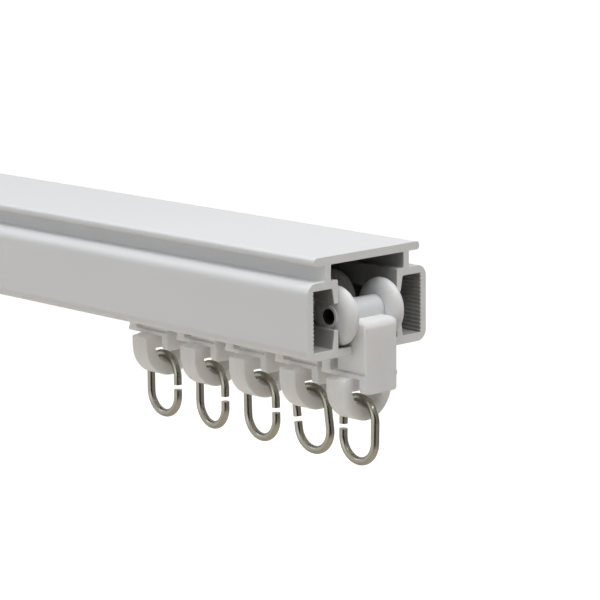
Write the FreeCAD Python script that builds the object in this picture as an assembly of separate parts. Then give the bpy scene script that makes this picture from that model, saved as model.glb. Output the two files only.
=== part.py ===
import FreeCAD, Part
import math
import os

from FreeCAD import Vector

# A short length of ceiling curtain track with five roller trolleys bunched at its open end.
# X runs along the track with the open end at +X, Y runs across it, Z is up.
# The origin is the middle of the ceiling face, so the whole object hangs below Z = 0.

# Track extrusion, heights measured up from the bottom of the side boxes
track_length = 250.0
track_width = 40.0
track_height = 25.0
box_height = 19.0
box_roof = 1.9
box_floor = 2.1
box_outer_wall = 1.7
box_corner_radius = 2.8
ceiling_plate_width = 35.4
ceiling_plate_thickness = 2.0
ceiling_plate_edge_radius = 0.9
web_outer_spacing = 28.2
web_thickness = 1.8
channel_width = 20.0
inner_wall_at_roof = 1.9
inner_wall_at_slot = 1.2
slot_bottom = 6.8
slot_top = 13.3
ledge_gap = 11.2
ledge_thickness = 2.0
ridge_count = 15
ridge_depth = 0.3
small_fillet = 0.3

# Wheels and axle
wheel_diameter = 14.9
wheel_width = 4.2
wheel_spacing = 15.2
wheel_hub_diameter = 6.8
wheel_lift = 0.05
axle_diameter = 4.6
axle_bore = 3.9
axle_head_diameter = 5.5
axle_head_thickness = 0.35
running_clearance = 0.05
barrel_grip = 0.01

# Hanger, a single white moulding: lengths ahead of the axle are positive
barrel_diameter = 7.0
body_length = 15.6
body_width = 10.9
body_top_below_axle = 0.9
body_brow_radius = 2.0
body_shoulder_radius = 1.2
body_corner_radius = 0.6
recess_back = -4.6
recess_front = -1.8
recess_web = 4.6
flange_top = 4.85
flange_thickness = 0.95
flange_overhang = 0.1
groove_height = 0.55
groove_depth = 0.8
groove_end = 0.5
lip_thickness = 2.1
lip_bottom = 9.6
lip_corner_radius = 1.5
eye_plate_thickness = 5.9
eye_plate_radius = 8.4
eye_plate_top = 6.3
eye_plate_crown = 1.2
eye_centre = 8.9
eye_throat_radius = 4.2
eye_flare_radius = 4.5
eye_roof_drop = 0.45

# Ring, bent from round wire and left open on one side; its width is measured along the wire's middle
wire_diameter = 2.1
ring_width = 11.1
ring_height = 16.1
ring_gap = 1.35
ring_gap_below_top = 7.6
ring_seat_clearance = 0.1

# Where the trolleys stand in the photograph: the first axle lies just inside the end of the track,
# and each further trolley follows the one ahead of it with a little room between their blocks
# Each ring hangs a few degrees off the line of the track, as loose rings do, and may lean along it:
# a positive tilt brings its lower bend nearer to the open end
first_axle_inset = 3.2
bumper_rooms = (1.25, 3.2, 3.4, 3.7)
rings_open_towards_back = (True, True, False, False, False)
ring_turns = (0.0, 2.0, -2.0, -5.0, -1.0)
ring_tilts = (-1.5, 8.0, 1.5, 0.0, 0.0)

# Levels and places worked out from the driving dimensions
track_bottom = -track_height
ledge_top = track_bottom + ledge_thickness
axle_height = ledge_top + wheel_lift + wheel_diameter / 2
body_top = axle_height - body_top_below_axle
flange_underside = track_bottom - flange_top - flange_thickness
wire_radius = wire_diameter / 2
ring_axis_height = track_bottom - eye_centre - eye_throat_radius + wire_radius + ring_seat_clearance


def axle_positions():
    """X of each axle, from the open end of the track inwards."""
    positions = [track_length / 2 - first_axle_inset]
    for room in bumper_rooms:
        positions.append(positions[-1] - body_length - room)
    return positions


def rounded_wire(corners, place):
    """Closed wire through (a, b, radius) corners, with an arc at each corner that has a radius."""
    runs = []
    count = len(corners)
    for index in range(count):
        ax, ay, _ = corners[index - 1]
        bx, by, radius = corners[index]
        cx, cy, _ = corners[(index + 1) % count]
        corner = Vector(bx, by, 0)
        to_last = (Vector(ax, ay, 0) - corner).normalize()
        to_next = (Vector(cx, cy, 0) - corner).normalize()
        half_turn = to_last.getAngle(to_next) / 2
        reach = radius / math.tan(half_turn)
        middle = (to_last + to_next).normalize() * (radius / math.sin(half_turn) - radius)
        runs.append((corner + to_last * reach, corner + middle, corner + to_next * reach, radius))
    edges = []
    for index in range(count):
        start, through, end, radius = runs[index]
        if radius > 0:
            edges.append(Part.Arc(place(start), place(through), place(end)).toShape())
        following = runs[(index + 1) % count][0]
        if end.distanceToPoint(following) > 1e-6:
            edges.append(Part.LineSegment(place(end), place(following)).toShape())
    return Part.Wire(edges)


def prism(corners, place, direction):
    """Solid swept straight from a rounded outline."""
    return Part.Face(rounded_wire(corners, place)).extrude(direction)


def revolved(edges, axis_point):
    """Solid turned about the line through axis_point along Y."""
    face = Part.Face(Part.Wire(edges))
    return face.revolve(axis_point, Vector(0, 1, 0), 360)


def polyline_edges(points):
    """Straight edges through the points, left open."""
    return [Part.LineSegment(a, b).toShape() for a, b in zip(points, points[1:])]


def rounded_edges(shape, radius, wanted):
    """The shape with the edges that pass the test rounded."""
    return shape.makeFillet(radius, [edge for edge in shape.Edges if wanted(edge.BoundBox)])


def ridge_corners():
    """Grip ridges down the inside of the outer wall, from the roof to the floor of the box."""
    wall_face = track_width / 2 - box_outer_wall
    top = box_height - box_roof
    pitch = (top - box_floor) / ridge_count
    corners = []
    for index in range(ridge_count):
        valley = top - index * pitch
        corners.append((wall_face, valley, 0))
        corners.append((wall_face - ridge_depth, valley - pitch / 2, 0))
    corners.append((wall_face, box_floor, 0))
    return corners


def track_section_corners():
    """Corners of the whole extrusion section as (y, height above the bottom, radius)."""
    half_width = track_width / 2
    web_out = web_outer_spacing / 2
    web_in = web_out - web_thickness
    plate_half = ceiling_plate_width / 2
    plate_under = track_height - ceiling_plate_thickness
    channel_half = channel_width / 2
    roof_under = box_height - box_roof
    gap_half = ledge_gap / 2
    outside = [
        (gap_half, 0, small_fillet),
        (half_width, 0, box_corner_radius),
        (half_width, box_height, box_corner_radius),
        (web_out, box_height, small_fillet),
        (web_out, plate_under, small_fillet),
        (plate_half, plate_under, ceiling_plate_edge_radius),
        (plate_half, track_height, ceiling_plate_edge_radius),
    ]
    inside = [
        (web_in, plate_under, small_fillet),
        (web_in, box_height, small_fillet),
        (channel_half, box_height, small_fillet),
        (channel_half, slot_top, small_fillet),
        (channel_half + inner_wall_at_slot, slot_top, small_fillet),
        (channel_half + inner_wall_at_roof, roof_under, small_fillet),
        *ridge_corners(),
        (channel_half + inner_wall_at_roof, box_floor, small_fillet),
        (channel_half + inner_wall_at_slot, slot_bottom, small_fillet),
        (channel_half, slot_bottom, small_fillet),
        (channel_half, ledge_thickness, small_fillet),
        (gap_half, ledge_thickness, small_fillet),
    ]
    mirrored_outside = [(-y, z, r) for y, z, r in reversed(outside)]
    mirrored_inside = [(-y, z, r) for y, z, r in reversed(inside)]
    return outside + mirrored_outside + mirrored_inside + inside


def make_track():
    """The whole extrusion: ceiling plate, two webs, two side boxes and two running ledges."""
    def place(point):
        return Vector(-track_length / 2, point.x, track_bottom + point.y)
    return prism(track_section_corners(), place, Vector(track_length, 0, 0))


def make_wheel(side):
    """Domed wheel with its bore running on the axle; side is -1 for the left and 1 for the right."""
    bore = axle_height + axle_diameter / 2 + running_clearance
    hub = axle_height + wheel_hub_diameter / 2
    tread = axle_height + wheel_diameter / 2
    middle = side * wheel_spacing / 2
    inner = middle - wheel_width / 2
    outer = middle + wheel_width / 2
    ellipse = Part.Ellipse(
        Vector(0, middle, tread), Vector(0, outer, hub), Vector(0, middle, hub))
    dome = Part.Arc(ellipse, -math.pi / 2, math.pi / 2).toShape()
    hub_outline = [(outer, hub), (outer, bore), (inner, bore), (inner, hub)]
    hub_edges = polyline_edges([Vector(0, y, z) for y, z in hub_outline])
    return revolved([dome] + hub_edges, Vector(0, 0, axle_height))


def make_axle():
    """Hollow white axle pin with a flat head outside each wheel."""
    bore = axle_bore / 2
    shank = axle_diameter / 2
    head = axle_head_diameter / 2
    head_inside = (wheel_spacing + wheel_width) / 2 + running_clearance
    head_outside = head_inside + axle_head_thickness
    outline = [
        (-head_outside, bore), (-head_outside, head), (-head_inside, head), (-head_inside, shank),
        (head_inside, shank), (head_inside, head), (head_outside, head), (head_outside, bore),
        (-head_outside, bore),
    ]
    edges = polyline_edges([Vector(0, y, axle_height + r) for y, r in outline])
    return revolved(edges, Vector(0, 0, axle_height))


def make_hanger_body():
    """Block that hangs through the ledge gap, with the bumper lip at its lower front."""
    half_length = body_length / 2
    half_width = body_width / 2
    lip_end = track_bottom - lip_bottom
    lip_back = half_length - lip_thickness
    side_outline = [
        (-half_length, body_top, body_brow_radius),
        (half_length, body_top, body_brow_radius),
        (half_length, lip_end, small_fillet),
        (lip_back, lip_end, small_fillet),
        (lip_back, flange_underside, small_fillet),
        (-half_length, flange_underside, 0),
    ]
    front_outline = [
        (-half_width, lip_end, lip_corner_radius),
        (half_width, lip_end, lip_corner_radius),
        (half_width, body_top, body_shoulder_radius),
        (-half_width, body_top, body_shoulder_radius),
    ]
    plan_outline = [
        (-half_length, -half_width, body_corner_radius),
        (half_length, -half_width, body_corner_radius),
        (half_length, half_width, body_corner_radius),
        (-half_length, half_width, body_corner_radius),
    ]

    def place_side(point):
        return Vector(point.x, -half_width, point.y)

    def place_front(point):
        return Vector(-half_length, point.x, point.y)

    def place_plan(point):
        return Vector(point.x, point.y, lip_end)
    side_view = prism(side_outline, place_side, Vector(0, body_width, 0))
    front_view = prism(front_outline, place_front, Vector(body_length, 0, 0))
    plan_view = prism(plan_outline, place_plan, Vector(0, 0, body_top - lip_end))
    block = side_view.common(front_view).common(plan_view)
    for side in (-1, 1):
        block = block.cut(make_recess(side)).cut(make_foot_groove(side))
    return block


def make_recess(side):
    """Upright core-out behind the axle in one side of the block, open at the top."""
    inner = side * recess_web / 2
    outer = side * body_width
    outline = [
        (recess_back, inner, small_fillet), (recess_front, inner, small_fillet),
        (recess_front, outer, 0), (recess_back, outer, 0),
    ]

    def place(point):
        return Vector(point.x, point.y, track_bottom - flange_top)
    return prism(outline, place, Vector(0, 0, track_height))


def make_foot_groove(side):
    """Narrow groove along one side of the block, just above the foot flange, from the core-out forwards."""
    inner = side * (body_width / 2 - groove_depth)
    outer = side * body_width
    front = body_length / 2 - groove_end
    outline = [
        (recess_back, inner, 0), (front, inner, small_fillet),
        (front, outer, 0), (recess_back, outer, 0),
    ]

    def place(point):
        return Vector(point.x, point.y, track_bottom - flange_top)
    return prism(outline, place, Vector(0, 0, groove_height))


def make_flange():
    """Thin step round the foot of the block, a little proud of its sides."""
    half_length = body_length / 2
    half_width = body_width / 2 + flange_overhang
    outline = [
        (-half_length, -half_width, small_fillet),
        (half_length, -half_width, small_fillet),
        (half_length, half_width, small_fillet),
        (-half_length, half_width, small_fillet),
    ]

    def place(point):
        return Vector(point.x, point.y, flange_underside)
    return prism(outline, place, Vector(0, 0, flange_thickness))


def make_eye_plate():
    """D-shaped plate across the track: half-round below, with shoulders that rise to a low crown."""
    centre = track_bottom - eye_centre
    shoulder = track_bottom - eye_plate_top
    back = -eye_plate_thickness / 2
    low = centre - eye_plate_radius
    corners = [
        Vector(back, eye_plate_radius, centre), Vector(back, eye_plate_radius, shoulder),
        Vector(back, 0, shoulder + eye_plate_crown),
        Vector(back, -eye_plate_radius, shoulder), Vector(back, -eye_plate_radius, centre),
    ]
    arc = Part.Arc(corners[-1], Vector(back, 0, low), corners[0]).toShape()
    face = Part.Face(Part.Wire(polyline_edges(corners) + [arc]))
    plate = face.extrude(Vector(eye_plate_thickness, 0, 0))

    def face_outline(box):
        return box.XLength < 0.01
    return rounded_edges(plate, small_fillet, face_outline)


def make_eye():
    """Half-round eye flared to both faces of the plate, under a flat roof."""
    centre = track_bottom - eye_centre
    reach = eye_plate_thickness / 2 + small_fillet
    flare = eye_throat_radius + eye_flare_radius - math.sqrt(eye_flare_radius ** 2 - reach ** 2)
    front = Vector(reach, 0, centre + flare)
    back = Vector(-reach, 0, centre + flare)
    waist = Part.Arc(back, Vector(0, 0, centre + eye_throat_radius), front).toShape()
    sides = polyline_edges([
        front, Vector(front.x, 0, centre), Vector(back.x, 0, centre), back])
    face = Part.Face(Part.Wire([waist] + sides))
    flared = face.revolve(Vector(0, 0, centre), Vector(1, 0, 0), 360)
    roof = centre - eye_roof_drop
    below_roof = Part.makeBox(4 * reach, 4 * flare, 4 * flare)
    below_roof.translate(Vector(-2 * reach, -2 * flare, roof - 4 * flare))
    return flared.common(below_roof)


def make_hanger():
    """One-piece hanger: axle barrel, block, foot flange and eye plate."""
    barrel_length = wheel_spacing - wheel_width - 4 * running_clearance
    barrel = Part.makeCylinder(
        barrel_diameter / 2, barrel_length,
        Vector(0, -barrel_length / 2, axle_height), Vector(0, 1, 0))
    neck_bottom = track_bottom - eye_plate_top - small_fillet
    neck = Part.makeBox(
        eye_plate_thickness, body_width, flange_underside + small_fillet - neck_bottom,
        Vector(-eye_plate_thickness / 2, -body_width / 2, neck_bottom))
    hanger = make_hanger_body().multiFuse([make_flange(), barrel, neck, make_eye_plate()])
    axle_hole = Part.makeCylinder(
        axle_diameter / 2 + barrel_grip, 2 * barrel_length,
        Vector(0, -barrel_length, axle_height), Vector(0, 1, 0))
    return hanger.cut(axle_hole).cut(make_eye()).removeSplitter()


def make_ring(opens_towards_back, turn, tilt):
    """Long open ring of bent wire through the eye, nearly in the plane along the track."""
    half = ring_width / 2
    upper_bend = ring_axis_height - half
    lower_bend = ring_axis_height - ring_height + half
    gap_top = ring_axis_height - ring_gap_below_top
    gap_bottom = gap_top - ring_gap
    open_side = -half if opens_towards_back else half

    def leg(x, low, high):
        return Part.makeCylinder(wire_radius, high - low, Vector(x, 0, low))

    def bend(height, axis):
        section = Part.Face(Part.Wire(Part.makeCircle(wire_radius, Vector(half, 0, height))))
        return section.revolve(Vector(0, 0, height), axis, 180)
    pieces = [
        leg(open_side, gap_top, upper_bend),
        leg(open_side, lower_bend, gap_bottom),
        leg(-open_side, lower_bend, upper_bend),
        bend(lower_bend, Vector(0, 1, 0)),
    ]
    ring = bend(upper_bend, Vector(0, -1, 0)).multiFuse(pieces)
    ring.rotate(Vector(0, 0, upper_bend), Vector(0, -1, 0), tilt)
    ring.rotate(Vector(0, 0, 0), Vector(0, 0, 1), turn)
    return ring


def write(name, shape, along=0.0):
    """Save one piece under its own name, moved along the track to its place."""
    placed = shape.translated(Vector(along, 0, 0))
    placed.exportStep(os.path.join("parts", name + ".step"))
    state = "valid" if placed.isValid() else "NOT VALID"
    print(name, state, len(placed.Solids), round(placed.Volume, 1))


os.makedirs("parts", exist_ok=True)
write("track", make_track())
hanger = make_hanger()
axle = make_axle()
wheel_left = make_wheel(-1)
wheel_right = make_wheel(1)
rings = zip(rings_open_towards_back, ring_turns, ring_tilts)
for number, (axle_x, ring_pose) in enumerate(zip(axle_positions(), rings), start=1):
    write(f"hanger_{number}", hanger, axle_x)
    write(f"axle_{number}", axle, axle_x)
    write(f"wheel_left_{number}", wheel_left, axle_x)
    write(f"wheel_right_{number}", wheel_right, axle_x)
    write(f"ring_{number}", make_ring(*ring_pose), axle_x)
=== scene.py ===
import math

import bpy
from mathutils import Euler, Matrix, Vector


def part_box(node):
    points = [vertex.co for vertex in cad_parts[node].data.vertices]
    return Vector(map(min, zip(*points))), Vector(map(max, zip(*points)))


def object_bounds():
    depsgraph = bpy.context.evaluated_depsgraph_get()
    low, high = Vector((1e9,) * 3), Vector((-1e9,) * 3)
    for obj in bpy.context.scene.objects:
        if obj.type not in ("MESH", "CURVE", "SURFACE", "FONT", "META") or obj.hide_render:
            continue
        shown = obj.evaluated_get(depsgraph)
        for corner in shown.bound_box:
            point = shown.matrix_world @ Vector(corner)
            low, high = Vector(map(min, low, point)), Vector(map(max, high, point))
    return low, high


# Looks of a short length of white ceiling curtain track with five roller trolleys at its open end.
# Every shape comes from the frame. Here it gets its finishes, the studio and the camera.

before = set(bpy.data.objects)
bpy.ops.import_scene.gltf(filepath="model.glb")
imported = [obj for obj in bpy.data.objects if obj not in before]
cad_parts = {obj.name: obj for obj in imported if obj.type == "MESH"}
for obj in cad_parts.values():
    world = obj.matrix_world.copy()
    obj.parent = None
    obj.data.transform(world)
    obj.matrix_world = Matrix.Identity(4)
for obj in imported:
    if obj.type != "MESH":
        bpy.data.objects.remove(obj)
cad_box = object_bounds()

MM = 0.001
TROLLEYS = range(1, 6)

# The track in millimetres. Its plain end is where the whole object's box starts. Each other value is a
# place inside the metal of a wall, by height or by distance from the track's middle line.
HALF_LENGTH = -cad_box[0][0] / MM
PLATE_HEIGHT = -1.3
BOX_ROOF_HEIGHT = -7.0
FLOOR_HEIGHT = -24.0
INNER_WALL = 10.6
WEB = 13.0
OUTER_WALL = 19.0

# Radii about an axle line, in millimetres: the painted shade in a pin's bore ends just outside its wall,
# and a wheel's side turns into its dull running band between the other two
BORE_SHADE_RADIUS = 2.0
BAND_RADII = (6.9, 7.6)

# The photograph's view: the camera looks at the aim from this far, turned this much from +X
VIEW_AZIMUTH = math.radians(-42.85)
VIEW_ELEVATION = math.radians(10.89)
VIEW_ROLL = math.radians(-0.56)
VIEW_DISTANCE = 0.666
VIEW_AIM = Vector((0.11207, -0.01043, -0.01262))
VIEW_LENS = 164.5
CAMERA_SIDE = (math.cos(VIEW_AZIMUTH), math.sin(VIEW_AZIMUTH), 0.0)
LEFT_SIDE = (math.sin(VIEW_AZIMUTH), -math.cos(VIEW_AZIMUTH), 0.0)


# Shader building

class Line:
    """One socket of a node tree, usable in arithmetic: each operator adds its Math node."""

    def __init__(self, shading, socket):
        self.shading = shading
        self.socket = socket

    def math(self, operation, *others):
        """Math node on this value and the others."""
        return self.shading.add("Math", {"operation": operation}, dict(enumerate((self, *others))))

    def __add__(self, other):
        return self.math("ADD", other)

    __radd__ = __add__

    def __mul__(self, other):
        return self.math("MULTIPLY", other)

    __rmul__ = __mul__

    def __rsub__(self, other):
        return self.shading.add("Math", {"operation": "SUBTRACT"}, {0: other, 1: self})

    def size(self):
        """The value without its sign."""
        return self.math("ABSOLUTE")

    def rise(self, low, high):
        """0 below low, 1 above high and a smooth step between them."""
        sockets = {"Value": self, "From Min": low, "From Max": high}
        return self.shading.add("MapRange", {"interpolation_type": "SMOOTHSTEP"}, sockets)

    def fall(self, low, high):
        """1 below low, 0 above high and a smooth step between them."""
        return 1.0 - self.rise(low, high)

    def above(self, limit, softness=0.2):
        """1 above the limit and 0 below it, with a step as soft as this to either side."""
        return self.rise(limit - softness, limit + softness)

    def below(self, limit, softness=0.2):
        """1 below the limit and 0 above it, with a step as soft as this to either side."""
        return 1.0 - self.above(limit, softness)


class Shading:
    """The nodes of a material or of the world."""

    def __init__(self, owner):
        owner.use_nodes = True
        self.tree = owner.node_tree

    def add(self, kind, settings, sockets, output=0):
        """Add a node of this kind, make its settings, then give its sockets their values or links."""
        node = self.tree.nodes.new("ShaderNode" + kind)
        for name, value in settings.items():
            setattr(node, name, value)
        for key, value in sockets.items():
            if isinstance(value, Line):
                self.tree.links.new(value.socket, node.inputs[key])
            else:
                node.inputs[key].default_value = value
        return Line(self, node.outputs[output])

    def split(self, vector):
        """The three parts of a vector."""
        first = self.add("SeparateXYZ", {}, {0: vector})
        return [Line(self, output) for output in first.socket.node.outputs]

    def blend(self, amount, low, high):
        """Colour that goes from low to high with the amount, on the Mix node's sockets for colours."""
        low, high = (tone if isinstance(tone, Line) else (*tone, 1.0) for tone in (low, high))
        return self.add("Mix", {"data_type": "RGBA"}, {0: amount, 6: low, 7: high}, 2)

    def fix(self, **sockets):
        """Give sockets of the Principled shader one value all over the surface."""
        for name, value in sockets.items():
            self.tree.nodes["Principled BSDF"].inputs[name.replace("_", " ")].default_value = value

    def send(self, line, socket, node="Principled BSDF"):
        """Link a value to a socket of a named node."""
        self.tree.links.new(line.socket, self.tree.nodes[node].inputs[socket])


class Finish(Shading):
    """A procedural material: a Principled shader, with colour, roughness and bump drawn in millimetres."""

    def __init__(self, name, middle=(0, 0, 0), **fixed):
        self.material = bpy.data.materials.new(name)
        super().__init__(self.material)
        self.fix(**fixed)
        place = self.add("TexCoord", {}, {}, "Object")
        offset = tuple(-part / MM for part in middle)
        scaled = {"Vector": place, "Location": offset, "Scale": (1 / MM, 1 / MM, 1 / MM)}
        self.point = self.add("Mapping", {}, scaled)
        self.x, self.y, self.z = self.split(self.point)

    def radius(self):
        """Distance from the axle line, which runs along Y through the finish's middle."""
        return (self.x * self.x + self.z * self.z).math("SQRT")

    def stretched(self, x, y, z):
        """The point in millimetres, scaled by a factor along each axis."""
        return self.add("VectorMath", {"operation": "MULTIPLY"}, {0: self.point, 1: (x, y, z)})

    def noise(self, per_mm, detail, point=None):
        """Cloudy noise around 0.5, with this many clouds to the millimetre."""
        return self.add("TexNoise", {}, {"Vector": point or self.point, "Scale": per_mm, "Detail": detail})

    def wear(self, colour, rough, height, depth_mm):
        """Send the colour, roughness and a bump of this depth to the shader, and give back the material."""
        bump = self.add("Bump", {}, {"Height": height, "Distance": depth_mm * MM, "Strength": 1.0})
        self.send(colour, "Base Color")
        self.send(rough, "Roughness")
        self.send(bump, "Normal")
        return self.material


# Finishes, with pairs of tones that go from the darker to the lighter

BLACK = (0.0, 0.0, 0.0)
WHITE = (1.0, 1.0, 1.0)
COAT_TONES = (0.80, 0.80, 0.805), (0.84, 0.84, 0.845)
DIE_LINE_TONE = (0.70, 0.70, 0.70)
SAWN_TONES = (0.82, 0.82, 0.815), (0.92, 0.92, 0.915)
# Inner walls of the boxes and channel: partly bare metal, partly painted shade of these hollows
BARE_METAL_AND_SHADE_TONE = (0.385, 0.385, 0.375)
NYLON_TONES = (0.86, 0.86, 0.865), (0.91, 0.91, 0.915)
PARTING_LINE_TONE = (0.60, 0.58, 0.55)
WHEEL_TONES = (0.85, 0.85, 0.85), (0.90, 0.90, 0.90)
WORN_BAND_TONE = (0.45, 0.44, 0.42)
PIN_TONES = (0.76, 0.755, 0.74), (0.83, 0.825, 0.81)
# Near-black painted shade inside a pin's bore
BORE_SHADE_TONE = (0.06, 0.055, 0.05)
NICKEL_TONES = (0.335, 0.32, 0.275), (0.425, 0.407, 0.352)

# White nylon and acetal let light through: it spreads a few millimetres, red the furthest
TRANSLUCENT = {"Subsurface_Radius": (1.0, 0.87, 0.78), "Subsurface_Scale": 3.8 * MM}


def bare_and_shaded_walls(finish):
    """1 on the walls of the side boxes and the channel, where powder doesn't reach and where these hollows
    get painted shade, and 0 outside them.
    """
    across, height = finish.y.size(), finish.z
    in_box = across.above(INNER_WALL) * across.below(OUTER_WALL) * height.below(BOX_ROOF_HEIGHT)
    walls = in_box.math("MAXIMUM", across.below(WEB)) * height.above(FLOOR_HEIGHT)
    depth = HALF_LENGTH - finish.x.size()
    return walls * height.below(PLATE_HEIGHT, softness=0.1) * depth.rise(-0.1, 0.5)


def powder_coat():
    """White powder coat on the extrusion, with faint die lines along it, saw marks on both cut ends, and a
    darker tone inside the boxes and channel that is partly bare metal and partly painted shade.
    """
    finish = Finish("white_powder_coat", Specular_IOR_Level=0.45)
    orange_peel = finish.noise(per_mm=1.3, detail=1.0)
    die_lines = finish.noise(per_mm=1.0, detail=3.0, point=finish.stretched(0.01, 3.2, 3.2))
    clouds = finish.noise(per_mm=0.02, detail=2.0)
    saw = finish.noise(per_mm=1.0, detail=4.0, point=finish.stretched(0.0, 0.35, 5.0))
    cut = finish.x.size().rise(HALF_LENGTH - 0.02, HALF_LENGTH - 0.005)
    coated = 1.0 - cut
    # Painted shade inside the track's hollows, partly bare metal where powder doesn't reach
    bare_and_shaded = bare_and_shaded_walls(finish)
    streaked = finish.blend(die_lines * 0.10, finish.blend(clouds, *COAT_TONES), DIE_LINE_TONE)
    along = finish.blend(bare_and_shaded, streaked, BARE_METAL_AND_SHADE_TONE)
    colour = finish.blend(cut, along, finish.blend(saw, *SAWN_TONES))
    rough = 0.36 + die_lines * 0.10 + cut * 0.15 + bare_and_shaded * 0.12
    height = orange_peel * coated * 0.5 + die_lines * coated * 0.4 + saw * cut * 1.2
    return finish.wear(colour, rough, height, depth_mm=0.012)


def moulded_nylon(middle):
    """White nylon of a hanger, with a faint flow pattern and a parting line round its middle."""
    finish = Finish(
        "white_moulded_nylon", middle, Specular_IOR_Level=0.45, Subsurface_Weight=0.8, **TRANSLUCENT)
    flow = finish.noise(per_mm=0.16, detail=3.0, point=finish.stretched(1.0, 1.0, 0.45))
    grain = finish.noise(per_mm=5.0, detail=2.0)
    parting = finish.x.size().fall(0.03, 0.10)
    colour = finish.blend(parting * 0.25, finish.blend(flow, *NYLON_TONES), PARTING_LINE_TONE)
    return finish.wear(colour, 0.40 + grain * 0.10, grain * 0.4 + flow * 0.5 + parting, depth_mm=0.03)


def turned_acetal(middle):
    """Smooth white wheel plastic with a dull running band on its tread."""
    finish = Finish(
        "white_wheel_acetal", middle, Specular_IOR_Level=0.5, Subsurface_Weight=0.4, **TRANSLUCENT)
    clouds = finish.noise(per_mm=0.3, detail=2.0)
    band = finish.radius().rise(*BAND_RADII)
    fine = finish.noise(per_mm=1.0, detail=3.0, point=finish.stretched(0.25, 5.0, 0.25))
    colour = finish.blend(band * fine * 0.12, finish.blend(clouds, *WHEEL_TONES), WORN_BAND_TONE)
    rough = 0.26 + band * 0.18 + clouds * 0.05
    return finish.wear(colour, rough, fine * band + clouds * 0.3, depth_mm=0.01)


def pin_nylon(middle):
    """White nylon of a hollow axle pin, with fine rings on its heads and near-black painted shade in its
    bore.
    """
    finish = Finish("white_pin_nylon", middle)
    radius = finish.radius()
    rings = (radius * 12.0).math("SINE") * 0.5 + 0.5
    clouds = finish.noise(per_mm=0.8, detail=3.0)
    # Painted shade: the bore is coloured near black
    bore_shade = radius.below(BORE_SHADE_RADIUS, softness=0.03)
    colour = finish.blend(bore_shade, finish.blend(clouds, *PIN_TONES), BORE_SHADE_TONE)
    return finish.wear(colour, 0.34 + clouds * 0.10, rings * 0.6 + clouds * 0.4, depth_mm=0.006)


def plated_wire(middle):
    """Nickel-plated ring wire, grey with a little tarnish and fine scuffs."""
    finish = Finish("nickel_plated_wire", middle, Metallic=1.0)
    tarnish = finish.noise(per_mm=0.35, detail=3.0)
    scuffs = finish.noise(per_mm=2.5, detail=3.0, point=finish.stretched(1.0, 1.0, 0.25))
    colour = finish.blend(tarnish, *NICKEL_TONES)
    return finish.wear(colour, 0.15 + scuffs * 0.12, scuffs, depth_mm=0.002)


def dress(node, material):
    """Give a CAD node its finish."""
    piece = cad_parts[node]
    piece.data.materials.clear()
    piece.data.materials.append(material)


def middle_of(node):
    """Middle of a node's box."""
    low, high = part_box(node)
    return tuple((a + b) / 2 for a, b in zip(low, high))


dress("track", powder_coat())
for number in TROLLEYS:
    on_axle = middle_of(f"axle_{number}")
    dress(f"hanger_{number}", moulded_nylon(on_axle))
    dress(f"axle_{number}", pin_nylon(on_axle))
    dress(f"wheel_left_{number}", turned_acetal(on_axle))
    dress(f"wheel_right_{number}", turned_acetal(on_axle))
    dress(f"ring_{number}", plated_wire(middle_of(f"ring_{number}")))


# Studio, in metres

OPEN_END = Vector((0.11, 0.0, -0.03))

FLOOR_SIZE = 60.0
FLOOR_BELOW_THE_RINGS = 0.20
FLOOR_NEAR = 0.34
FLOOR_FAR = 0.66
FLOOR_TONE = (0.88, 0.81, 0.72)
DARK_FLOOR_TONE = (0.05, 0.05, 0.05)

# What lifts the lit floor to white for the camera, and what the dark part of it needs besides
FLOOR_LIFT = 0.78
DARK_FLOOR_LIFT = 0.2

# How light the room is, how much lighter to the photographer's left, and the cosines of the angles off
# the camera's direction between which it goes dark
ROOM_LEVEL = 0.6
ROOM_LEFT_LEVEL = 0.3
ROOM_DARK_COSINES = (0.80, 0.99)

# Share of the room's light that falls on the object, which mirrors all of it
ROOM_SHARE = 0.56


def soft_box(name, place, width, height, power, colour=WHITE):
    """Area lamp of this width and height that points at the open end."""
    bpy.ops.object.light_add(type="AREA", location=place)
    lamp = bpy.context.object
    lamp.name = name
    lamp.rotation_euler = (OPEN_END - Vector(place)).to_track_quat("-Z", "Y").to_euler()
    lamp.data.shape = "RECTANGLE"
    lamp.data.size = width
    lamp.data.size_y = height
    lamp.data.energy = power
    lamp.data.color = colour


def room_level(shading, direction):
    """How light the room is in a direction: lightest to the photographer's left, and dark behind them."""
    left, camera_side = (
        shading.add("VectorMath", {"operation": "DOT_PRODUCT"}, {0: direction, 1: side}, "Value")
        for side in (LEFT_SIDE, CAMERA_SIDE))
    return (left * ROOM_LEFT_LEVEL + ROOM_LEVEL) * camera_side.fall(*ROOM_DARK_COSINES)


def rays(shading):
    """1 for rays from the camera, and 1 for reflected and refracted rays."""
    camera, glossy, clear = (
        shading.add("LightPath", {}, {}, f"Is {name} Ray") for name in ("Camera", "Glossy", "Transmission"))
    return camera, glossy.math("MAXIMUM", clear)


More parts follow.
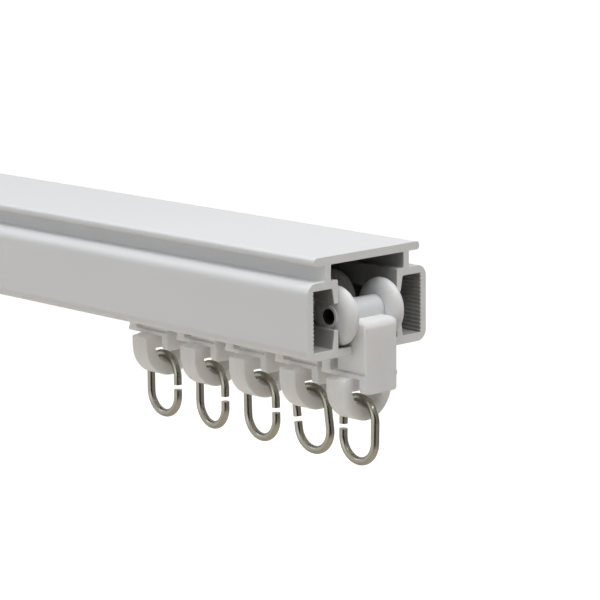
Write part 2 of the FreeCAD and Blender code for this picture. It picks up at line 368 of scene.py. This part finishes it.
def white_floor():
    """Large white floor a little below the object, lifted to white for the camera.

    Further out it is as light or dark as the room on that side, which the wires mirror.
    """
    bpy.ops.object.select_all(action="DESELECT")
    height = cad_box[0][2] - FLOOR_BELOW_THE_RINGS
    bpy.ops.mesh.primitive_plane_add(size=FLOOR_SIZE, location=(0, 0, height))
    floor = bpy.context.object
    floor.name = "studio_floor"
    bpy.ops.object.transform_apply(location=True)
    material = bpy.data.materials.new("studio_white")
    shading = Shading(material)
    shading.fix(Roughness=0.9, Specular_IOR_Level=0.0, Emission_Strength=1.0)
    place = shading.add("TexCoord", {}, {}, "Object")
    flat = shading.add("VectorMath", {"operation": "MULTIPLY"}, {0: place, 1: (1.0, 1.0, 0.0)})
    outwards = shading.add("VectorMath", {"operation": "NORMALIZE"}, {0: flat})
    distance = shading.add("VectorMath", {"operation": "LENGTH"}, {0: flat}, "Value")
    far = distance.rise(FLOOR_NEAR, FLOOR_FAR)
    level = room_level(shading, outwards)
    dark = far * (1.0 - level)
    camera, mirrored = rays(shading)
    lift = camera * (dark * DARK_FLOOR_LIFT + FLOOR_LIFT) + mirrored * far * level * ROOM_SHARE
    shading.send(shading.blend(dark, FLOOR_TONE, DARK_FLOOR_TONE), "Base Color")
    shading.send(shading.blend(lift, BLACK, WHITE), "Emission Color")
    floor.data.materials.append(material)


def room_light():
    """Weak light from all round, seen in full by mirrored rays, and white where the camera sees it."""
    world = bpy.data.worlds.new("studio_room")
    bpy.context.scene.world = world
    shading = Shading(world)
    level = room_level(shading, shading.add("TexCoord", {}, {}, "Generated"))
    camera, mirrored = rays(shading)
    lightness = camera.math("MAXIMUM", level * (mirrored * (1.0 - ROOM_SHARE) + ROOM_SHARE))
    shading.send(shading.blend(lightness, BLACK, WHITE), "Color", node="Background")


def photograph_camera():
    """Camera at the photograph's place, with its lens."""
    bpy.ops.object.camera_add()
    camera = bpy.context.object
    camera.name = "photograph_camera"
    camera.data.sensor_width = 36.0
    camera.data.lens = VIEW_LENS
    camera.data.clip_start = 0.01
    camera.data.clip_end = 200.0
    upright = Euler((math.pi / 2 - VIEW_ELEVATION, 0, math.pi / 2 + VIEW_AZIMUTH)).to_matrix()
    turned = upright @ Matrix.Rotation(VIEW_ROLL, 3, "Z")
    towards_camera = turned @ Vector((0, 0, 1))
    camera.matrix_world = Matrix.Translation(VIEW_AIM + towards_camera * VIEW_DISTANCE) @ turned.to_4x4()
    return camera


white_floor()
room_light()
soft_box("top_soft_box", (0.44, -0.04, 0.86), 0.7, 0.7, power=6.85)
soft_box("left_soft_box", (0.14, -1.20, 0.0), 1.2, 0.42, power=1.08, colour=(0.94, 0.98, 1.0))
soft_box("back_right_soft_box", (-0.25, 1.20, 0.0), 1.2, 0.42, power=1.0, colour=(0.97, 0.99, 1.0))
soft_box("back_left_soft_box", (-0.83, -0.50, 0.78), 0.7, 0.7, power=2.3, colour=(0.70, 0.85, 1.0))

scene = bpy.context.scene
scene.camera = photograph_camera()
scene.view_settings.view_transform = "Standard"
